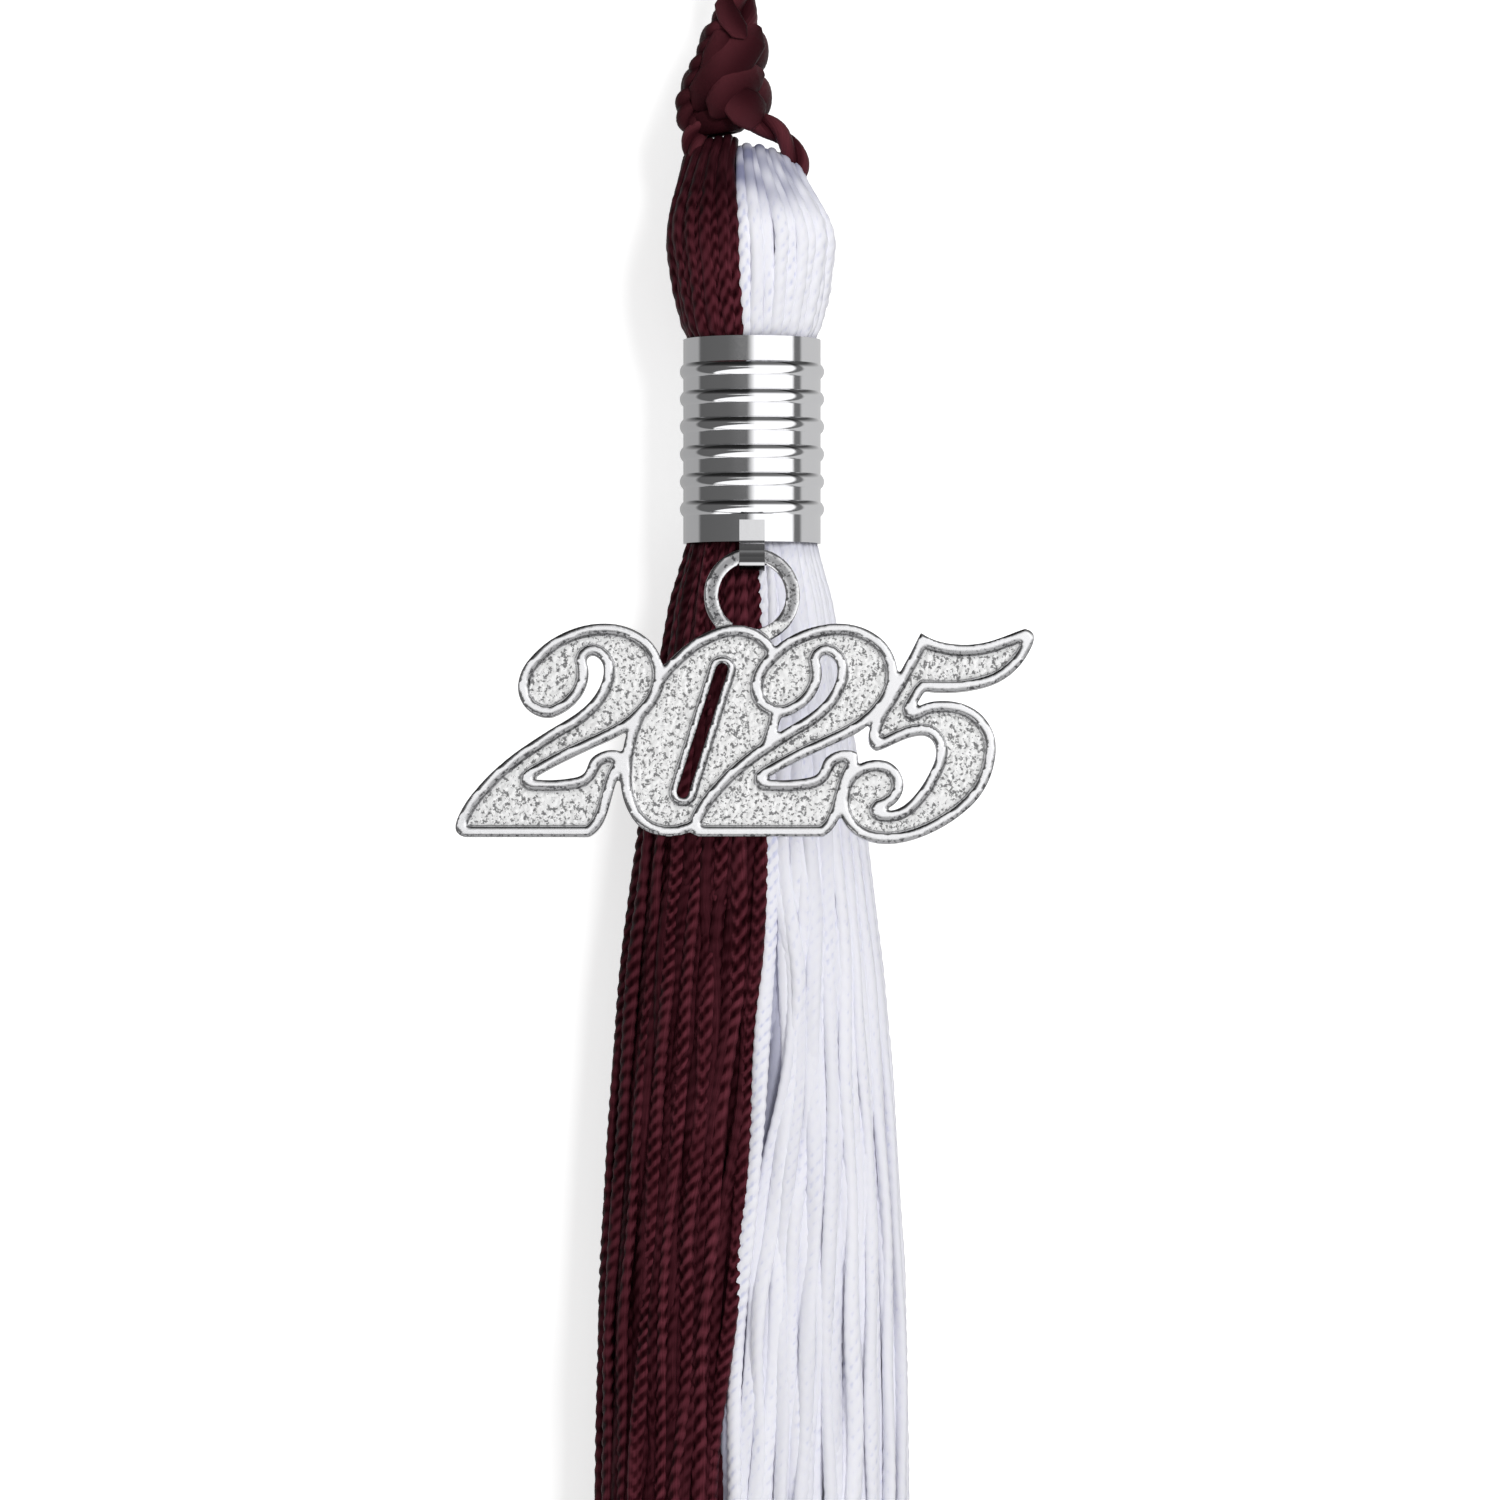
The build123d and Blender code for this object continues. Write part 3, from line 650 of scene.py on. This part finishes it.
def make_knot():
    """Wraps that bulge on the right, a tightly laid strand down the left, folds across the front and two legs."""
    strands = []
    for label, x, height, reach, tilt, fat in (
        ("upper", -1.45, 23.3, 1.8, -0.12, 1.8), ("lower", -2.05, 19.7, 2.7, -0.12, 1.75), ("base", -2.9, 17.6, 1.9, 0.16, 1.25),
    ):
        turns = np.linspace(0, 2 * np.pi, 48)
        wrap = np.stack([
            x + reach * np.cos(turns),
            1.2 * np.sin(turns),
            BAND_TOP + height + tilt * reach * np.cos(turns),
        ], axis=1)
        strands += satin_ply(f"{label}_wrap", wrap, fat, 1, 0.0, 1e6, squash=0.56, around=24, reference=(0, 0, 1))
    left = curve_through(above_band(
        (-1.9, -0.9, 26.2), (-2.7, -1.0, 24.7), (-3.4, -1.0, 23.1), (-4.1, -1.0, 21.6), (-4.6, -0.9, 20.2),
        (-5.2, -0.8, 18.8), (-5.1, -0.7, 17.6), (-4.4, -0.6, 16.9),
    ))
    strands += satin_ply("left_strand", left, 0.8, 2, 0.2, 2.9, squash=0.95)
    strands += broad_fold("neck_fold", 0.95, (
        (-2.4, -1.2, 27.4), (-2.0, -1.9, 26.0), (-1.3, -2.4, 24.8), (-0.5, -2.5, 23.9),
    ))
    strands += broad_fold("long_fold", 1.75, (
        (0.5, -1.0, 25.0), (-0.5, -1.8, 23.4), (-1.9, -2.2, 21.6), (-3.3, -2.1, 20.0), (-4.5, -1.5, 18.2),
    ))
    strands += broad_fold("cross_fold", 1.6, (
        (0.9, -1.2, 21.3), (-0.6, -2.2, 20.6), (-2.0, -2.5, 19.2), (-3.1, -2.2, 17.5),
    ))
    strands += broad_fold("low_fold", 1.6, (
        (-1.9, -2.2, 19.6), (-1.0, -2.7, 18.7), (0.0, -2.4, 17.9), (0.8, -1.4, 17.4),
    ))
    strands += broad_fold("left_fold", 1.35, (
        (-1.8, -1.5, 24.9), (-2.3, -2.0, 23.3), (-2.9, -2.1, 21.6), (-3.6, -1.8, 20.0),
    ))
    knot = join(strands, "knot")
    across = np.empty(len(knot.data.vertices) * 3, np.float32)
    knot.data.vertices.foreach_get("co", across)
    # Painted shade: the knot's left side, away from the key light, is darker.
    left_shade = 0.55 * smooth((-1.9 - across.reshape(-1, 3)[:, 0] / MM) / 2.2)
    knot.data.attributes["shade"].data.foreach_set("value", left_shade.astype(np.float32))
    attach(knot, "tassel")
    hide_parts("cord_knotted_end")
    right = curve_through(above_band(
        (-1.6, -0.9, 17.5), (-0.5, -1.0, 17.5), (0.6, -1.1, 17.2), (1.9, -1.2, 16.6), (2.7, -1.1, 15.8), (3.3, -0.9, 14.9),
        (3.7, -0.4, 13.9), (3.5, 0.3, 12.8), (2.6, 0.4, 11.0),
    ))
    leg = join(satin_ply("right_leg", right, 0.6, 2, 0.36, 7.0, phase=2.2, squash=1.1), "right_bight")
    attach(leg, "tassel")
    left_leg = curve_through(above_band(
        (-3.4, -0.7, 17.4), (-4.2, -0.8, 16.8), (-4.7, -0.8, 15.9), (-4.6, -0.5, 14.6), (-3.8, 0.0, 12.6),
    ))
    leg = join(satin_ply("left_leg", left_leg, 0.6, 2, 0.36, 7.0, squash=1.1), "left_bight")
    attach(leg, "tassel")


# ---- Metal ----
CHARM_TILT = math.radians(4.0)
RING_RADIUS = 3.225  # to the middle of the ring's wire
NUMERALS_TOP = -5.45  # above the charm's pivot, along the charm


def make_charm():
    """The casting with rounded rims and hammered floors, standing for the plain CAD charm."""
    source = frame["nodes"]["year_charm"]
    mesh = source.data.copy()
    charm = bpy.data.objects.new("year_charm_cast", mesh)
    bpy.context.scene.collection.objects.link(charm)
    charm.parent = None
    remesh = charm.modifiers.new("remesh", "REMESH")
    remesh.mode = "VOXEL"
    remesh.voxel_size = 0.12 * MM
    soften = charm.modifiers.new("soften", "SMOOTH")
    soften.factor = 0.5
    soften.iterations = 4
    baked = bpy.data.meshes.new_from_object(charm.evaluated_get(bpy.context.evaluated_depsgraph_get()))
    soften.iterations = 40
    rounded = bpy.data.meshes.new_from_object(charm.evaluated_get(bpy.context.evaluated_depsgraph_get()))
    charm.modifiers.clear()
    charm.data = baked
    baked.materials.clear()
    baked.materials.append(CHARM_METAL)
    count = len(baked.vertices)
    co = np.empty(count * 3, np.float32)
    normals = np.empty(count * 3, np.float32)
    baked.vertices.foreach_get("co", co)
    baked.vertices.foreach_get("normal", normals)
    broad = np.empty(count * 3, np.float32)
    rounded.vertices.foreach_get("normal", broad)
    co, normals, broad = co.reshape(-1, 3).astype(float) / MM, normals.reshape(-1, 3), broad.reshape(-1, 3)
    facing = np.array([0.0, -math.cos(CHARM_TILT), math.sin(CHARM_TILT)])
    upward = np.array([0.0, math.sin(CHARM_TILT), math.cos(CHARM_TILT)])
    depth = (co - CHARM_PIVOT) @ facing
    rise = (co - CHARM_PIVOT) @ upward
    front = depth.max()
    toward = normals @ facing
    on_numerals = 1 - smooth((rise - NUMERALS_TOP) / 0.3)
    recess = smooth((front - depth - 0.36) / 0.24) * smooth((toward - 0.75) / 0.2) * on_numerals
    pebbles = np.array([noise.noise(Vector(p * 3.4)) + 0.7 * noise.noise(Vector(p * 6.1 + 9.0)) for p in co])
    co = co + normals * (recess * pebbles * 0.045)[:, None]
    # Painted shade on the sides turned away from the upper left, and a painted dark reflection across the ring's flat
    # face.
    lit_from = unit(np.array([-0.4, 0.0, 1.0]))
    turned_away = smooth((-(broad @ lit_from) - 0.03) / 0.2)
    ring_reach = np.hypot(co[:, 0] - CHARM_PIVOT[0], rise + RING_RADIUS)
    ring_dark_reflection = np.exp(-(((ring_reach - RING_RADIUS) / 0.36) ** 4)) * smooth((toward - 0.6) / 0.3) * (1 - on_numerals)
    shade_and_dark_reflection = np.maximum(turned_away * on_numerals * (1 - 0.6 * recess), ring_dark_reflection)
    for key, values in (("floor", recess), ("shade_and_dark_reflection", shade_and_dark_reflection)):
        attribute = baked.attributes.new(key, "FLOAT", "POINT")
        attribute.data.foreach_set("value", values.astype(np.float32))
    baked.vertices.foreach_set("co", (co * MM).astype(np.float32).ravel())
    baked.polygons.foreach_set("use_smooth", np.ones(len(baked.polygons), bool))
    baked.update()
    charm.visible_shadow = False
    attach(charm, "charm")
    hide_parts("year_charm")


def dress_cad_nodes():
    for node, material in (("ribbed_band", BAND_METAL), ("charm_strap", STRAP_METAL), ("neck_binding", THREAD)):
        mesh = frame["nodes"][node].data
        mesh.materials.clear()
        mesh.materials.append(material)


# ---- Stage, light and camera ----
def plain_material(name, colour, roughness=0.9):
    material, n = new_material(name)
    shader = n.add("ShaderNodeBsdfPrincipled", {"Base Color": colour, "Roughness": roughness})
    behind = n.add("ShaderNodeBsdfTransparent")
    back = n.add("ShaderNodeNewGeometry").outputs["Backfacing"]
    chosen = n.add("ShaderNodeMixShader", {0: back, 1: shader.outputs[0], 2: behind.outputs[0]})
    n.add("ShaderNodeOutputMaterial", {0: chosen.outputs[0]})
    return material


def stage_plane(name, corners, material):
    mesh = bpy.data.meshes.new(name)
    mesh.from_pydata([tuple(c) for c in corners], [], [(0, 1, 2, 3)])
    mesh.materials.append(material)
    made = bpy.data.objects.new(name, mesh)
    bpy.context.scene.collection.objects.link(made)
    return made


def card_material():
    """A white card that is just over full white where nothing shades it, so only the deeper shadows show."""
    material, n = new_material("white_card")
    glow = n.add("ShaderNodeEmission", {0: (1, 1, 1, 1), 1: 0.54}).outputs[0]
    paper = n.add("ShaderNodeBsdfDiffuse", {0: (0.9, 0.9, 0.9, 1.0)}).outputs[0]
    lit = n.add("ShaderNodeAddShader", {0: glow, 1: paper}).outputs[0]
    behind = n.add("ShaderNodeBsdfTransparent").outputs[0]
    back = n.add("ShaderNodeNewGeometry").outputs["Backfacing"]
    n.add("ShaderNodeOutputMaterial", {0: n.add("ShaderNodeMixShader", {0: back, 1: lit, 2: behind}).outputs[0]})
    return material


def keep_behind(plane):
    """Moves the card back when a joint swings the tassel behind its place."""
    curve = plane.driver_add("location", 1)
    swing = curve.driver.variables.new()
    swing.name = "swing"
    swing.type = "TRANSFORMS"
    swing.targets[0].id = frame["bodies"]["tails"]
    swing.targets[0].transform_type = "LOC_Y"
    swing.targets[0].transform_space = "WORLD_SPACE"
    curve.driver.type = "SCRIPTED"
    curve.driver.expression = "max(0, -4 * swing)"


def make_stage():
    """A white card close behind the tassel and a pale floor under its tails."""
    wall_y, floor_z, far = 8.0 * MM, TAIL_END * MM - 0.004, 1.5
    wall = [(-far, wall_y, floor_z), (far, wall_y, floor_z), (far, wall_y, far), (-far, wall_y, far)]
    card = stage_plane("backdrop", wall, card_material())
    keep_behind(card)
    floor = [(-far, -far, floor_z), (far, -far, floor_z), (far, far, floor_z), (-far, far, floor_z)]
    for plane in (card, stage_plane("floor", floor, plain_material("pale_floor", (0.9, 0.9, 0.9, 1.0)))):
        plane.visible_glossy = False
        plane.visible_diffuse = False


def area_light(name, location, target, size, power, colour=(1, 1, 1)):
    data = bpy.data.lights.new(name, "AREA")
    data.shape = "RECTANGLE"
    data.size, data.size_y = size
    data.energy = power
    data.color = colour
    light = bpy.data.objects.new(name, data)
    light.location = location
    light.rotation_mode = "QUATERNION"
    light.rotation_quaternion = (Vector(target) - Vector(location)).to_track_quat("-Z", "Y")
    bpy.context.scene.collection.objects.link(light)
    return light


def make_world():
    """A white room for the eye, and for polished metal a ring of soft boxes and dark cards round the object."""
    world = bpy.data.worlds.new("studio")
    bpy.context.scene.world = world
    world.use_nodes = True
    n = Nodes(world)
    direction = n.add("ShaderNodeTexCoord").outputs["Generated"]
    parts = n.add("ShaderNodeSeparateXYZ", {0: direction}).outputs
    azimuth = n.math("ARCTAN2", parts[0], n.math("MULTIPLY", parts[1], -1.0))
    place = n.math("ADD", n.math("DIVIDE", azimuth, 2 * math.pi), 0.5)

    def at(degrees):
        return degrees / 360 + 0.5

    def grey(v):
        return (v, v, v)

    around = n.ramp(place, [
        (0.0, grey(0.43)), (at(-103), grey(0.41)), (at(-96), grey(0.12)), (at(-8), grey(0.14)), (at(5), grey(1.25)),
        (at(71), grey(1.25)), (at(76), grey(0.17)), (at(87), grey(0.17)), (at(93), grey(0.62)), (1.0, grey(0.6)),
    ])
    lifted = n.math("ADD", n.math("MULTIPLY", parts[2], 0.5), 0.5)

    def lift(sine):
        return sine * 0.5 + 0.5

    front = n.ramp(place, [(at(-45), grey(0)), (at(-20), grey(1.1)), (at(70), grey(1.1)), (at(76), grey(0))])
    over = n.ramp(lifted, [(lift(0.08), grey(0)), (lift(0.11), grey(1)), (lift(0.2), grey(1)), (lift(0.26), grey(0))])
    overhead = n.ramp(lifted, [(lift(0.3), grey(1)), (lift(0.62), grey(0.13))])
    leaning = n.math("SUBTRACT", place, n.math("MULTIPLY", n.math("ADD", parts[2], 0.17), 140 / 360))
    wedge = n.ramp(leaning, [(at(-9), grey(0)), (at(-2), grey(1.2))])
    low = n.ramp(lifted, [(lift(-0.9), grey(0)), (lift(-0.86), grey(1)), (lift(-0.24), grey(1)), (lift(-0.17), grey(0))])
    underneath = n.ramp(lifted, [(lift(-0.86), grey(1.3)), (lift(-0.78), grey(0))])

    def blend(kind, a, b):
        return n.add("ShaderNodeMix", {0: 1.0, 6: a, 7: b}, data_type="RGBA", blend_type=kind).outputs[2]

    low_front = blend("MULTIPLY", low, n.ramp(place, [(at(70), grey(1)), (at(76), grey(0))]))
    cards = blend("LIGHTEN", blend("MULTIPLY", around, overhead), blend("MULTIPLY", front, over))
    cards = blend("LIGHTEN", cards, blend("MULTIPLY", wedge, low_front))
    cards = blend("LIGHTEN", cards, underneath)
    path = n.add("ShaderNodeLightPath").outputs
    white = n.add("ShaderNodeBackground", {0: (1, 1, 1, 1), 1: 0.43}).outputs[0]
    camera = n.add("ShaderNodeBackground", {0: (1, 1, 1, 1), 1: 1.0}).outputs[0]
    seen = n.add("ShaderNodeBackground", {0: cards, 1: 1.0}).outputs[0]
    mirrored = n.add("ShaderNodeMixShader", {0: path["Is Glossy Ray"], 1: white, 2: seen}).outputs[0]
    chosen = n.add("ShaderNodeMixShader", {0: path["Is Camera Ray"], 1: mirrored, 2: camera}).outputs[0]
    n.add("ShaderNodeOutputWorld", {0: chosen})


def make_lights():
    middle = (0, 0, BAND_BOTTOM * MM)
    key = area_light("key", (0.36, -0.8, BAND_BOTTOM * MM + 0.33), middle, (0.25, 0.35), 4.5)
    fill = area_light("fill", (-0.55, -0.7, BAND_BOTTOM * MM + 0.1), middle, (0.6, 0.6), 0.7)
    back = area_light("back", (0.3, 0.9, BAND_BOTTOM * MM + 0.5), middle, (0.6, 0.6), 3.0)
    for light in (key, fill, back):
        light.visible_glossy = False


VIEW_WIDTH = 120.0  # width of the view at the object
VIEW_CENTRE = Vector((-0.16 * MM, 0, (BAND_BOTTOM - 16.5) * MM))


def make_camera():
    data = bpy.data.cameras.new("camera")
    data.sensor_width = 36.0
    data.lens = 135.0
    camera = bpy.data.objects.new("camera", data)
    distance = VIEW_WIDTH * MM * data.lens / data.sensor_width
    camera.location = VIEW_CENTRE + Vector((0, -distance, 0))
    camera.rotation_euler = (math.radians(90), 0, 0)
    data.clip_start, data.clip_end = 0.01, 20.0
    bpy.context.scene.collection.objects.link(camera)
    bpy.context.scene.camera = camera


make_skirt()
make_head()
make_cord()
make_knot()
make_charm()
dress_cad_nodes()
make_stage()
make_world()
make_lights()
make_camera()
bpy.context.scene.view_settings.view_transform = "Standard"
